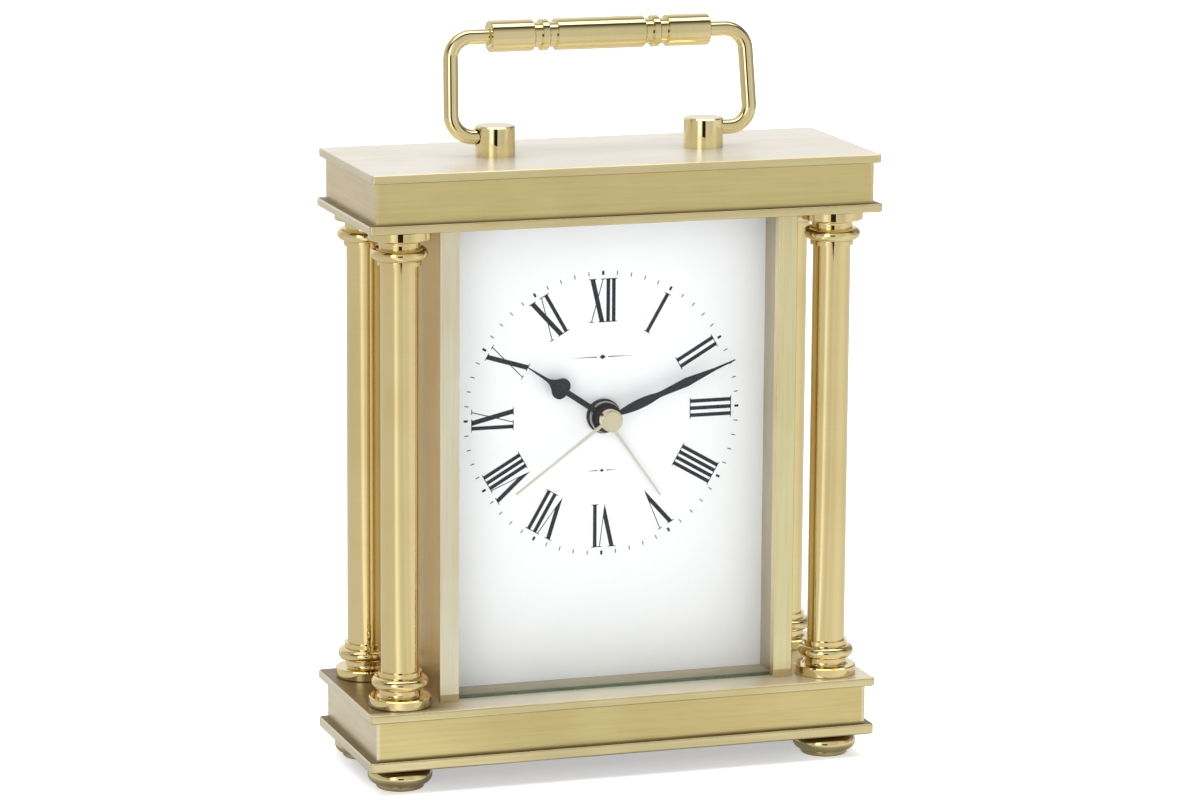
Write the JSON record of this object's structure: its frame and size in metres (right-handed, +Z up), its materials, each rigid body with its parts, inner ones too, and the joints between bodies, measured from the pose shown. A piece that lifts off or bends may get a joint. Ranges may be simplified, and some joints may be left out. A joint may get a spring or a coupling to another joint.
{
  "type": "carriage clock",
  "caption": "Rectangular four-pillar brass carriage clock with glazed front, white dial, folding bail handle and battery alarm movement.",
  "frame": {"origin": "on the ground, below the centre of the rectangular plates", "axes": "+Z up, -Y out of the dial towards the reader, +X to the reader's right"},
  "size_m": [0.113, 0.0424, 0.16],
  "materials": {
    "plate_brass": "satin brushed brass",
    "turned_brass": "polished turned brass",
    "glass": "clear",
    "dial_white": "matt white enamel",
    "hand_black": "black, satin",
    "hand_gold": "pale gilt, satin",
    "steel": "zinc plated",
    "black_plastic": "fine moulded texture",
    "gear_white": "natural acetal",
    "board_green": "solder resist",
    "copper": "enamelled copper wire",
    "magnet": "sintered magnet and acetal pinion",
    "cell": null,
    "contact": "nickel plated",
    "back_painted": "satin brass"
  },
  "bodies": {
    "clock_case": {"base_bottom_plate": "plate_brass", "base_top_plate": "plate_brass", "cornice_plate": "plate_brass", "top_plate": "plate_brass", "case_wall_left": "plate_brass", "case_wall_right": "plate_brass", "base_band_front": "plate_brass", "frieze_front": "plate_brass", "base_band_back": "plate_brass", "frieze_back": "plate_brass", "base_band_left": "plate_brass", "frieze_left": "plate_brass", "base_band_right": "plate_brass", "frieze_right": "plate_brass", "foot_front_left": "turned_brass", "pillar_front_left": "turned_brass", "foot_front_right": "turned_brass", "pillar_front_right": "turned_brass", "foot_back_left": "turned_brass", "pillar_back_left": "turned_brass", "foot_back_right": "turned_brass", "pillar_back_right": "turned_brass", "handle_post_left": "turned_brass", "handle_post_right": "turned_brass", "glass": "glass", "dial": "dial_white", "back_plate": "back_painted", "dial_nut": "hand_black", "foot_screws": "steel", "cornice_screws": "steel", "handle_post_screws": "steel", "back_plate_screws": "steel", "movement_front_shell": "black_plastic", "movement_back_shell": "black_plastic", "circuit_board": "board_green", "quartz_crystal": "steel", "stator": "steel", "coil": "copper", "buzzer": "contact", "battery_contact_positive": "contact", "battery_contact_negative": "contact"},
    "bail": {"bail": "turned_brass", "handle_grip": "turned_brass"},
    "second_train": {"second_wheel": "gear_white", "second_hand": "hand_gold", "second_hand_cap": "turned_brass"},
    "minute_train": {"centre_wheel": "gear_white", "minute_hand": "hand_black"},
    "hour_train": {"hour_wheel": "gear_white", "hour_hand": "hand_black"},
    "alarm_train": {"alarm_wheel": "gear_white", "alarm_hand": "hand_gold"},
    "minute_work": {"minute_work_wheel": "gear_white"},
    "third_wheel": {"third_wheel": "gear_white"},
    "step_wheel": {"step_wheel": "gear_white"},
    "rotor": {"rotor": "magnet"},
    "time_setter": {"time_set_knob": "black_plastic"},
    "alarm_setter": {"alarm_set_knob": "black_plastic"},
    "alarm_slider": {"alarm_switch": "black_plastic"},
    "battery": {"battery": "cell"}
  },
  "joints": [
    {"name": "bail_fold", "type": "hinge", "parent": "clock_case", "child": "bail", "pos_m": [0, 0, 0.1359], "axis": [1, 0, 0], "range_deg": [-81, 97]},
    {"name": "second_hand_turn", "type": "hinge", "parent": "clock_case", "child": "second_train", "pos_m": [0, 0, 0.07525], "axis": [0, 1, 0], "continuous": true},
    {"name": "minute_hand_turn", "type": "hinge", "parent": "clock_case", "child": "minute_train", "pos_m": [0, 0, 0.07525], "axis": [0, 1, 0], "continuous": true},
    {"name": "hour_hand_turn", "type": "hinge", "parent": "clock_case", "child": "hour_train", "pos_m": [0, 0, 0.07525], "axis": [0, 1, 0], "continuous": true},
    {"name": "minute_work_turn", "type": "hinge", "parent": "clock_case", "child": "minute_work", "pos_m": [-0.00693, 0, 0.07125], "axis": [0, 1, 0], "continuous": true},
    {"name": "third_wheel_turn", "type": "hinge", "parent": "clock_case", "child": "third_wheel", "pos_m": [0, 0, 0.08325], "axis": [0, 1, 0], "continuous": true},
    {"name": "step_wheel_turn", "type": "hinge", "parent": "clock_case", "child": "step_wheel", "pos_m": [0.00752, 0, 0.07799], "axis": [0, 1, 0], "continuous": true},
    {"name": "rotor_turn", "type": "hinge", "parent": "clock_case", "child": "rotor", "pos_m": [0.01022, 0, 0.08266], "axis": [0, 1, 0], "continuous": true},
    {"name": "time_knob_turn", "type": "hinge", "parent": "clock_case", "child": "time_setter", "pos_m": [-0.01443, 0, 0.07125], "axis": [0, 1, 0], "continuous": true},
    {"name": "alarm_hand_turn", "type": "hinge", "parent": "clock_case", "child": "alarm_train", "pos_m": [0, 0, 0.07525], "axis": [0, 1, 0], "continuous": true},
    {"name": "alarm_knob_turn", "type": "hinge", "parent": "clock_case", "child": "alarm_setter", "pos_m": [0.00736, 0, 0.071], "axis": [0, 1, 0], "continuous": true},
    {"name": "alarm_switch_slide", "type": "slide", "parent": "clock_case", "child": "alarm_slider", "axis": [0, 0, 1], "range_m": [0, 0.003]},
    {"name": "battery_removal", "type": "slide", "parent": "clock_case", "child": "battery", "axis": [0, 1, 0], "range_m": [0, 0.03]}
  ],
  "couplings": [
    {"joint": "third_wheel_turn", "follows": "second_hand_turn", "ratio": -0.13333},
    {"joint": "minute_hand_turn", "follows": "second_hand_turn", "ratio": 0.016667},
    {"joint": "minute_work_turn", "follows": "second_hand_turn", "ratio": -0.0055556},
    {"joint": "hour_hand_turn", "follows": "second_hand_turn", "ratio": 0.0013889},
    {"joint": "time_knob_turn", "follows": "second_hand_turn", "ratio": 0.022222},
    {"joint": "step_wheel_turn", "follows": "second_hand_turn", "ratio": -6},
    {"joint": "rotor_turn", "follows": "second_hand_turn", "ratio": 30},
    {"joint": "alarm_knob_turn", "follows": "alarm_hand_turn", "ratio": -4.6667}
  ]
}
